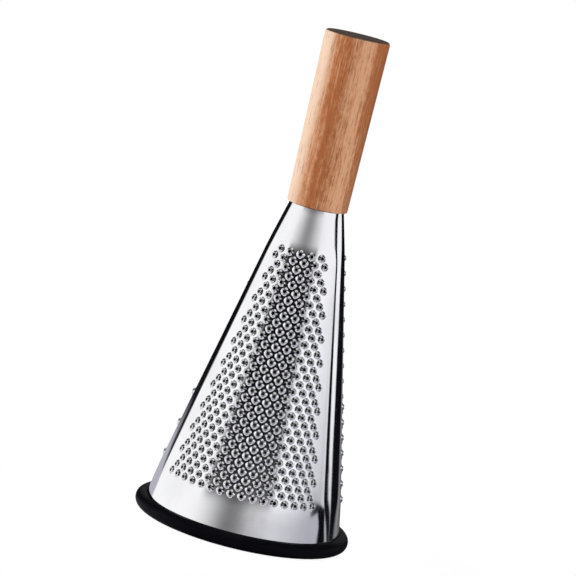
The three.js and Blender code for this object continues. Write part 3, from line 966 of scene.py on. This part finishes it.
class GRATER_OT_rolled_cone(bpy.types.Operator):
    """Build the rolled steel cone with its fine, medium and coarse fields"""

    bl_idname = "grater.rolled_cone"
    bl_label = "Rolled Cone"

    FINE_FACING = 0
    MEDIUM_FACING = 120
    COARSE_FACING = 240
    SAME_PLACE = 2e-6

    def execute(self, context):
        settings = context.scene.grater
        wall = ConeWall(settings.sheet, settings.fields)
        punch = settings.punch
        steel = polished_steel(settings.sheet.tint)
        fine, medium, coarse = self.fields(wall, settings.fields, punch)
        net = SheetNet(wall)
        sectors = [field.fill(net) for field in (fine, medium, coarse)]
        for sector, following in zip(sectors, sectors[1:] + sectors[:1]):
            net.stitch([row[0][0] for row in following], [row[0][-1] for row in sector])
        round_places = fine.places() + medium.places()
        punched = [
            burr_tree(wall, punch, steel).run(round_places),
            hood_tree(wall, punch, steel).run(coarse.places()),
        ]
        mesh = self.weld(net, sectors, punched, wall)
        piece = link_piece("steel_cone", mesh, steel)
        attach(piece, "root")
        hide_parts("grater_cone")
        return {"FINISHED"}

    def fields(self, wall, layout, punch):
        """The fine, medium and coarse field, each on its third of the cone."""
        round_hole = burr_outline(punch.burr_base, BURR_SIDES, punch.burr_square)
        round_inside = burr_outline(punch.burr_flare, BURR_SIDES)
        scoop = hood_outline(punch.hood_half, punch.hood_reach, punch.hood_slit, HOOD_SIDES)
        cut = wall.sheet.thickness
        scoop_inside = hood_outline(
            punch.hood_half - cut, punch.hood_reach - cut, punch.hood_slit - cut, HOOD_SIDES
        )
        fine = PunchedField(wall, self.FINE_FACING, even_rows(
            wall, layout.lowest, layout.highest, layout.fine_row_pitch, layout.fine_arc_pitch,
            layout.fine_foot_half, layout.fine_top_half,
        ), round_hole, round_inside)
        medium = PunchedField(wall, self.MEDIUM_FACING, column_rows(
            layout.lowest, layout.highest, layout.medium_row_pitch, layout.medium_columns,
            layout.medium_foot_half, layout.medium_top_half,
        ), round_hole, round_inside)
        coarse = PunchedField(wall, self.COARSE_FACING, column_rows(
            layout.coarse_lowest, layout.highest, layout.coarse_row_pitch, layout.coarse_columns,
            layout.coarse_foot_half, layout.coarse_top_half,
        ), scoop, scoop_inside)
        return fine, medium, coarse

    def weld(self, net, sectors, punched, wall):
        """One closed mesh of both faces, the two rims and every burr and hood."""
        points = net.outer + net.inner
        plain_count = len(points)
        faces, rims = self.sheet_faces(net, sectors)
        own_normals = self.add_punched(points, faces, punched)
        points = np.array(points)
        mesh = bpy.data.meshes.new("steel_cone")
        mesh.from_pydata(wall.pressed(points).tolist(), [], faces)
        mesh.shade_smooth()
        depth = (wall.radius(points[:, 2]) - np.hypot(points[:, 0], points[:, 1])) * math.cos(wall.lean)
        # The inside attribute marks the inner face, where polished_steel paints shade and dulls the
        # polish.
        inside = mesh.attributes.new("inside", "FLOAT", "POINT")
        inside.data.foreach_set("value", np.clip(depth / wall.sheet.thickness, 0.0, 1.0))
        plain_normals = wall.normals(points[:plain_count])
        plain_normals[len(net.outer):] *= -1
        self.set_normals(mesh, plain_normals, rims, own_normals)
        return mesh

    def sheet_faces(self, net, sectors):
        """The faces of both sides of the sheet and its two rims, and the numbers of the rims' faces."""
        count = len(net.outer)
        faces = net.triangles + [(a + count, c + count, b + count) for a, b, c in net.triangles]
        foot = [corner for sector in sectors for corner in sector[0][0]]
        neck = [corner for sector in sectors for corner in sector[-1][1]]
        rim_start = len(faces)
        faces += [(b, a, a + count, b + count) for a, b in zip(foot, foot[1:] + foot[:1])]
        faces += [(a, b, b + count, a + count) for a, b in zip(neck, neck[1:] + neck[:1])]
        return faces, range(rim_start, len(faces))

    def add_punched(self, points, faces, punched):
        """Adds every burr and hood, joined to the corners of its hole, and gives their normals."""
        tree = KDTree(len(points))
        for number, point in enumerate(points):
            tree.insert(point, number)
        tree.balance()
        own_normals = []
        for added, added_faces, added_normals in punched:
            numbers = []
            for point in added:
                _, number, apart = tree.find(point)
                if apart > self.SAME_PLACE:
                    number = len(points)
                    points.append(tuple(point))
                numbers.append(number)
            for face in added_faces:
                faces.append(tuple(numbers[i] for i in face))
                own_normals += [added_normals[i] for i in face]
        return own_normals

    def set_normals(self, mesh, plain_normals, rims, own_normals):
        """True wall normals on the plain sheet, so that the polish reflects without facets.

        The rims are flat, and the punched shapes keep the normals that they were made with.
        """
        corners = np.empty(len(mesh.loops), dtype=np.int64)
        mesh.loops.foreach_get("vertex_index", corners)
        plain_end = len(corners) - len(own_normals)
        normals = np.empty((len(corners), 3))
        normals[:plain_end] = plain_normals[corners[:plain_end]]
        normals[plain_end:] = own_normals
        for number in rims:
            for corner in mesh.polygons[number].loop_indices:
                normals[corner] = mesh.polygons[number].normal
        mesh.normals_split_custom_set(normals.tolist())


class GRATER_OT_lap_seam(bpy.types.Operator):
    """Lap the sheet's outer end over its inner end at the back and spot weld it"""

    bl_idname = "grater.lap_seam"
    bl_label = "Lap Seam"

    STEPS = 72
    BACK = math.pi
    RING_GAP = 0.3 * MM
    SHARP = math.radians(30)

    def execute(self, context):
        settings = context.scene.grater
        sheet = settings.sheet
        wall = ConeWall(sheet, settings.fields)
        steel = bpy.data.materials["polished_steel"]
        foot = RING_BOX[1][2] + self.RING_GAP
        top = sheet.neck_level - sheet.thickness
        self.show("lap_strip", self.strip(wall, foot, top), steel)
        count = int((top - foot) // sheet.weld_pitch)
        first = (foot + top - (count - 1) * sheet.weld_pitch) / 2
        places = [(self.BACK, first + number * sheet.weld_pitch) for number in range(count)]
        points, faces, _ = weld_tree(wall, steel).run(places)
        mesh = bpy.data.meshes.new("spot_welds")
        mesh.from_pydata(wall.pressed(points).tolist(), [], faces)
        mesh.shade_smooth()
        self.show("spot_welds", mesh, steel)
        return {"FINISHED"}

    def show(self, name, mesh, steel):
        piece = link_piece(name, mesh, steel)
        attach(piece, "root")

    def strip(self, wall, foot, top):
        """A closed strip with a cut edge on one side and a joggled edge on the other."""
        thick, half = wall.sheet.thickness, wall.sheet.lap_width / 2
        section = [
            (-half, -0.5 * thick), (half, -0.5 * thick), (half - 0.25 * thick, 0.3 * thick),
            (half - thick, 0.85 * thick), (half - 1.6 * thick, thick), (0.0, thick),
            (0.25 * thick - half, thick), (-half, 0.75 * thick),
        ]
        levels = np.linspace(foot, top, self.STEPS + 1)
        points = [
            wall.place(self.BACK, level, across, 0.0, lift) for level in levels for across, lift in section
        ]
        size = len(section)
        faces = []
        for step in range(self.STEPS):
            for side in range(size):
                after = (side + 1) % size
                lower, upper = step * size, (step + 1) * size
                faces.append((lower + side, lower + after, upper + after, upper + side))
        faces.append(tuple(reversed(range(size))))
        faces.append(tuple(self.STEPS * size + side for side in range(size)))
        mesh = bpy.data.meshes.new("lap_strip")
        mesh.from_pydata(wall.pressed(np.array(points)).tolist(), [], faces)
        mesh.shade_smooth()
        mesh.set_sharp_from_angle(angle=self.SHARP)
        return mesh


class GRATER_OT_foot_ring(bpy.types.Operator):
    """Build the rubber ring that the cone stands in"""

    bl_idname = "grater.foot_ring"
    bl_label = "Foot Ring"

    SEGMENTS = 192
    BEAD_STEPS = 28
    LIP_STEPS = 16

    def execute(self, context):
        settings = context.scene.grater
        ring, sheet = settings.ring, settings.sheet
        wall = ConeWall(sheet, settings.fields)
        top = RING_BOX[1][2]
        middle = top / 2
        across = sheet.thickness / math.cos(wall.lean)
        bead = sheet.foot_radius + ring.slot_gap
        inside = sheet.foot_radius - across - ring.slot_gap - ring.inner_wall

        def slot_outer(level):
            return wall.drawn_radius(level) + ring.slot_gap

        def slot_inner(level):
            return wall.drawn_radius(level) - across - ring.slot_gap

        profile = [
            *arc(bead, middle, ring.outer_wall, middle, -90, 90, self.BEAD_STEPS),
            (slot_outer(top), top),
            (slot_outer(ring.floor), ring.floor),
            (slot_inner(ring.floor), ring.floor),
            (slot_inner(top), top),
            *arc(inside + ring.inner_round, middle, ring.inner_round, middle, 90, 270, self.LIP_STEPS),
        ]
        mesh = turned_mesh("foot_ring", profile, self.SEGMENTS)
        piece = link_piece("foot_ring", mesh, foot_rubber(ring.tint))
        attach(piece, "root")
        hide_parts("base_ring")
        return {"FINISHED"}


class GRATER_OT_turned_handle(bpy.types.Operator):
    """Turn the wooden handle, with its tenon and screw hole"""

    bl_idname = "grater.turned_handle"
    bl_label = "Turned Handle"

    SEGMENTS = 128
    SHOULDER_STEPS = 5
    TOP_STEPS = 8
    DRILL_POINT = 4 * MM
    TENON_CHAMFER = 1 * MM

    def execute(self, context):
        settings = context.scene.grater
        handle = settings.handle
        wall = ConeWall(settings.sheet, settings.fields)
        neck = wall.drawn_radius(settings.sheet.neck_level)
        tenon = neck - settings.sheet.thickness / math.cos(wall.lean) - handle.tenon_gap
        top = HANDLE_BOX[1][2]
        tenon_end = HANDLE_BOX[0][2]
        hole_end = tenon_end + handle.screw_depth
        ease = handle.shoulder_ease
        rounding = handle.roundover
        profile = [
            (0.0, hole_end),
            (handle.screw_hole, hole_end - self.DRILL_POINT),
            (handle.screw_hole, tenon_end),
            (tenon - self.TENON_CHAMFER, tenon_end),
            (tenon, tenon_end + self.TENON_CHAMFER),
            (tenon, handle.shoulder_level),
            *arc(
                handle.shoulder_radius - ease, handle.shoulder_level + ease, ease, ease,
                -90, 0, self.SHOULDER_STEPS,
            ),
            *arc(
                handle.top_radius - rounding, top - rounding, rounding, rounding,
                0, 90, self.TOP_STEPS,
            ),
            (0.0, top),
        ]
        mesh = turned_mesh("turned_handle", profile, self.SEGMENTS)
        piece = link_piece("turned_handle", mesh, turned_wood(handle, top))
        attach(piece, "root")
        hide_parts("handle")
        return {"FINISHED"}


class GRATER_OT_fixing(bpy.types.Operator):
    """Finish the plate, washer and screw that hold the handle from inside"""

    bl_idname = "grater.fixing"
    bl_label = "Handle Fixing"

    def execute(self, context):
        fixing = context.scene.grater.fixing
        finishes = {
            "neck_plate": plain_steel("pressed_steel", fixing.plate, specks=900.0),
            "screw_washer": plain_steel("zinc_washer", fixing.washer, specks=1400.0),
            "handle_screw": plain_steel("zinc_screw", fixing.screw, specks=1600.0),
        }
        for node, finish in finishes.items():
            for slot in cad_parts[node].material_slots:
                slot.link = "OBJECT"
                slot.material = finish
        return {"FINISHED"}


class GRATER_OT_stage(bpy.types.Operator):
    """Set up the pale floor, the studio light and the camera"""

    bl_idname = "grater.stage"
    bl_label = "Stage"

    FLOOR_TOP = -0.05 * MM
    FLOOR_BOTTOM = -1 * MM
    FLOOR_FADE = (65 * MM, 160 * MM)
    FLOOR_SEGMENTS = 96
    WHITE = (1.0, 1.0, 1.0)
    DARK = (0.004, 0.004, 0.006)
    DUSK = (0.47, 0.46, 0.52)
    SILVER = (0.70, 0.69, 0.75)
    SOOT = (0.11, 0.11, 0.12)
    # Tones of the ground that the polish mirrors, by the degrees round from the front
    GROUND = (
        (-180, DUSK), (-136, DUSK), (-112, (0.80, 0.80, 0.84)), (-60, (0.74, 0.73, 0.79)),
        (-40, SILVER), (40, SILVER), (60, (0.58, 0.58, 0.62)), (95, (0.55, 0.55, 0.60)),
        (114, SOOT), (180, SOOT),
    )

    def execute(self, context):
        stage = context.scene.grater.stage
        self.floor(stage)
        self.world(context, stage)
        self.lamp(context, "key_lamp", stage.key_power, stage.key_place, stage.key_size)
        self.lamp(context, "fill_lamp", stage.fill_power, stage.fill_place, stage.fill_size)
        self.camera(context, stage)
        context.scene.view_settings.view_transform = "Standard"
        return {"FINISHED"}

    def floor(self, stage):
        """A pale disc that fades out towards its rim, so that only the shadow shows."""
        rim, top, bottom = stage.floor_radius, self.FLOOR_TOP, self.FLOOR_BOTTOM
        profile = [(0.0, bottom), (rim, bottom), (rim, top), (0.0, top)]
        mesh = turned_mesh("pale_floor", profile, self.FLOOR_SEGMENTS)
        material, graph = material_graph("pale_floor")
        x, y, _ = graph.parts(object_place(graph))
        faded = graph.smooth(graph.math("SQRT", x * x + y * y), *self.FLOOR_FADE)
        camera_ray = graph.node("ShaderNodeLightPath", output="Is Camera Ray")
        matt = graph.node("ShaderNodeBsdfDiffuse", inputs={"Color": opaque((0.80, 0.80, 0.82))})
        glow = graph.node("ShaderNodeEmission", inputs={"Strength": 0.88})
        dim = graph.node("ShaderNodeBsdfDiffuse", inputs={"Color": opaque((0.25, 0.25, 0.25))})
        lifted = graph.node("ShaderNodeAddShader", inputs={0: glow, 1: dim})
        clear = graph.node("ShaderNodeBsdfTransparent")
        shown = graph.node("ShaderNodeMixShader", inputs={0: faded, 1: lifted, 2: clear})
        both = graph.node("ShaderNodeMixShader", inputs={0: camera_ray, 1: matt, 2: shown})
        graph.node("ShaderNodeOutputMaterial", inputs={"Surface": both})
        floor = link_piece("pale_floor", mesh, material)
        floor.visible_glossy = False

    def world(self, context, stage):
        """White to the camera, a studio with dark flags to the polish, a soft even light to the rest."""
        world = bpy.data.worlds.new("studio")
        world.use_nodes = True
        context.scene.world = world
        graph = Graph(world.node_tree)
        camera_ray = graph.node("ShaderNodeLightPath", output="Is Camera Ray")
        clear_ray = graph.node("ShaderNodeLightPath", output="Is Transmission Ray")
        glossy_ray = graph.node("ShaderNodeLightPath", output="Is Glossy Ray")
        even = self.background(graph, opaque((0.95, 0.97, 1.0)), 0.55)
        mirrored = self.background(graph, self.studio(graph, stage), 1.0)
        bright = self.background(graph, opaque(self.WHITE), 1.0)
        light = graph.node("ShaderNodeMixShader", inputs={0: glossy_ray, 1: even, 2: mirrored})
        shown = graph.largest(camera_ray, clear_ray)
        surface = graph.node("ShaderNodeMixShader", inputs={0: shown, 1: light, 2: bright})
        graph.node("ShaderNodeOutputWorld", inputs={"Surface": surface})

    def background(self, graph, tone, strength):
        return graph.node("ShaderNodeBackground", inputs={"Color": tone, "Strength": strength})

    def studio(self, graph, stage):
        """The colour that the polish mirrors in each direction.

        Directions are in degrees: the way round from the front to the right, and the height above level.
        """
        x, y, z = graph.parts(graph.node("ShaderNodeTexCoord"))
        round_way = graph.math("ARCTAN2", x, -y) * (180 / math.pi)
        height = graph.math("ARCSINE", z) * (180 / math.pi)
        turned = graph.math("ABSOLUTE", round_way)
        front = self.front_shade(graph, stage, round_way, height)
        ceiling = self.ceiling_shade(graph, turned, height)
        behind = self.flags(graph, round_way, turned, height)
        shade = graph.largest(front, ceiling, behind)
        walls = graph.blend(shade, self.walls(graph, round_way, height), opaque(self.DARK))
        return self.with_ground(graph, walls, round_way, turned, height)

    def walls(self, graph, round_way, height):
        """White on the left, greyer low down on the right, dusky low down behind the left."""
        lifted = height + 0.3 * graph.largest(round_way - 102.0, 0.0)
        right_side = graph.blend(
            graph.smooth(lifted, 1.5, 11.5), opaque((0.44, 0.44, 0.49)), opaque((0.95, 0.95, 0.97))
        )
        sides = graph.blend(graph.smooth(round_way, -4.0, 36.0), opaque(self.WHITE), right_side)
        back_left = graph.smooth(round_way, -128.0, -142.0) * graph.smooth(height, -2.0, -5.0)
        return graph.blend(back_left, sides, opaque(self.DUSK))

    def ceiling_shade(self, graph, turned, height):
        """Half dark overhead, and dark over a brim that hangs lower at the back, but for a skylight."""
        overhead = 0.5 * graph.smooth(height, 66.0, 80.0)
        brim = 47.0 - 32.0 * graph.smooth(turned, 66.0, 112.0)
        hung = graph.smooth(height - brim, -4.0, 4.0) * graph.smooth(turned, 44.0, 62.0)
        skylight = graph.smooth(height, 52.0, 58.0) * graph.smooth(turned, 112.0, 98.0)
        return graph.largest(overhead, 0.95 * hung * (1.0 - skylight))

    def front_shade(self, graph, stage, round_way, height):
        """The dark room round the camera, softer at the two heights that the plain borders mirror."""
        raised = graph.largest(height - 16.0, 0.0)
        left_way = round_way / (1.0 + 0.02 * raised)
        right_way = round_way / (1.0 + 0.035 * raised)
        room = graph.smooth(left_way, -53.0, -40.0) * graph.smooth(right_way, 44.0, 32.0)
        room = room * graph.smooth(height, 74.0, 52.0)
        aside = round_way - math.degrees(stage.azimuth)
        level = height + 0.00105 * aside * aside
        low_soft = 0.77 * graph.hump(round_way, -8.0, 27.5)
        high_soft = 0.70 * graph.hump(round_way, -2.75, 36.0)
        low = graph.hump(level, 8.1, 2.7)
        high = graph.hump(level, 22.0, 2.5)
        return room + (low_soft - room) * low + (high_soft - room) * high

    def flags(self, graph, round_way, turned, height):
        """Black flags behind both sides, and on the right a narrow slanting line and a low hook."""
        near = graph.math("MINIMUM", height, 4.8)
        left = graph.smooth(round_way - 2.4 * graph.largest(near, -3.0), -124.0, -132.0)
        right = graph.smooth(round_way - 1.6 * graph.largest(near, -0.5), 133.5, 136.5)
        right = right * (1.0 - 0.3 * graph.smooth(height, -5.6, -7.2))
        tilted = round_way + 1.85 * height
        line = graph.smooth(tilted, 120.5, 123.5) * graph.smooth(tilted, 133.5, 132.0)
        line = line * graph.smooth(round_way + height, 131.5, 129.5)
        bent = round_way - 2.2 * graph.largest(3.0 - graph.largest(height, -3.0), 0.0)
        bent = bent + 5.0 * graph.smooth(height, 2.3, 3.3)
        hook = graph.smooth(bent, 96.0, 98.5) * graph.smooth(round_way, 128.0, 124.0)
        hook = hook * graph.smooth(height + 0.2 * (round_way - 101.0), 4.0, 3.5)
        open_back = graph.smooth(turned, 146.0, 172.0) * graph.smooth(height, 5.0, 9.0)
        flags = graph.largest(left, right, line, hook)
        return flags * graph.smooth(height, 22.0, 15.0) * (1.0 - 0.92 * open_back)

    def with_ground(self, graph, studio, round_way, turned, height):
        """Lays the ground under the studio. Its edge dips towards the front, and it is dark below."""
        stops = [(degrees / 360 + 0.5, tone) for degrees, tone in self.GROUND]
        ground = graph.node("ShaderNodeValToRGB", {"stops": stops}, {"Fac": round_way / 360 + 0.5})
        sunk = height + 0.223 * graph.largest(-147.0 - round_way, 0.0)
        far_left = graph.smooth(round_way, -126.0, -136.0) * graph.smooth(sunk, -5.6, -6.8)
        studio = graph.blend(far_left, studio, opaque(self.DUSK))
        below = sunk + 12.0 * graph.smooth(turned, 78.0, 52.0)
        below = below + 11.0 * graph.smooth(turned, 6.0, 24.0) * graph.smooth(turned, 66.0, 48.0)
        studio = graph.blend(graph.smooth(below, -6.0, -11.0), studio, ground)
        return graph.blend(graph.smooth(height, -44.0, -58.0), studio, opaque(self.DARK))

    def lamp(self, context, name, power, place, size):
        light = bpy.data.lights.new(name, "AREA")
        light.energy = power
        light.shape = "DISK"
        light.size = size
        lamp = bpy.data.objects.new(name, light)
        lamp.location = place
        aim = Vector((0.0, 0.0, MIDDLE_LEVEL)) - Vector(place)
        lamp.rotation_euler = aim.to_track_quat("-Z", "Y").to_euler()
        lamp.visible_glossy = False
        context.scene.collection.objects.link(lamp)

    def camera(self, context, stage):
        data = bpy.data.cameras.new("camera")
        data.lens = stage.lens
        data.sensor_width = SENSOR_WIDTH
        data.shift_x = stage.shift_right
        data.shift_y = stage.shift_up
        camera = bpy.data.objects.new("camera", data)
        target = Vector((0.0, 0.0, MIDDLE_LEVEL))
        flat = math.cos(stage.elevation)
        way = Vector((
            flat * math.sin(stage.azimuth), -flat * math.cos(stage.azimuth), math.sin(stage.elevation)
        ))
        camera.location = target + way * stage.distance
        turned = (-way).to_track_quat("-Z", "Y").to_matrix() @ Matrix.Rotation(stage.lean, 3, "Z")
        camera.rotation_euler = turned.to_euler()
        context.scene.collection.objects.link(camera)
        context.scene.camera = camera


class GRATER_PT_build(bpy.types.Panel):
    """Lists the grater's pieces in the order that they are built"""

    bl_idname = "GRATER_PT_build"
    bl_label = "Cone Grater"
    bl_space_type = "VIEW_3D"
    bl_region_type = "UI"
    bl_category = "Grater"

    def draw(self, context):
        settings = context.scene.grater
        for name in ("sheet", "fields", "punch", "handle", "ring", "fixing", "stage"):
            box = self.layout.box()
            group = getattr(settings, name)
            box.label(text=name.capitalize())
            for item in group.bl_rna.properties:
                if item.identifier not in {"rna_type", "name"}:
                    box.prop(group, item.identifier)
        for operator in OPERATORS:
            self.layout.operator(operator.bl_idname)


OPERATORS = (
    GRATER_OT_rolled_cone,
    GRATER_OT_lap_seam,
    GRATER_OT_foot_ring,
    GRATER_OT_turned_handle,
    GRATER_OT_fixing,
    GRATER_OT_stage,
)
CLASSES = (
    SheetSizes, FieldSizes, PunchSizes, HandleSizes, RingSizes, FixingColours, StageSizes, GraterSettings,
    *OPERATORS,
    GRATER_PT_build,
)


def register():
    for item in CLASSES:
        bpy.utils.register_class(item)
    bpy.types.Scene.grater = bpy.props.PointerProperty(
        type=GraterSettings, name="Grater", description="Sizes and colours of the cone grater"
    )


def unregister():
    del bpy.types.Scene.grater
    for item in reversed(CLASSES):
        bpy.utils.unregister_class(item)


def main():
    register()
    bpy.ops.grater.rolled_cone()
    bpy.ops.grater.lap_seam()
    bpy.ops.grater.foot_ring()
    bpy.ops.grater.turned_handle()
    bpy.ops.grater.fixing()
    bpy.ops.grater.stage()


if __name__ == "__main__":
    main()
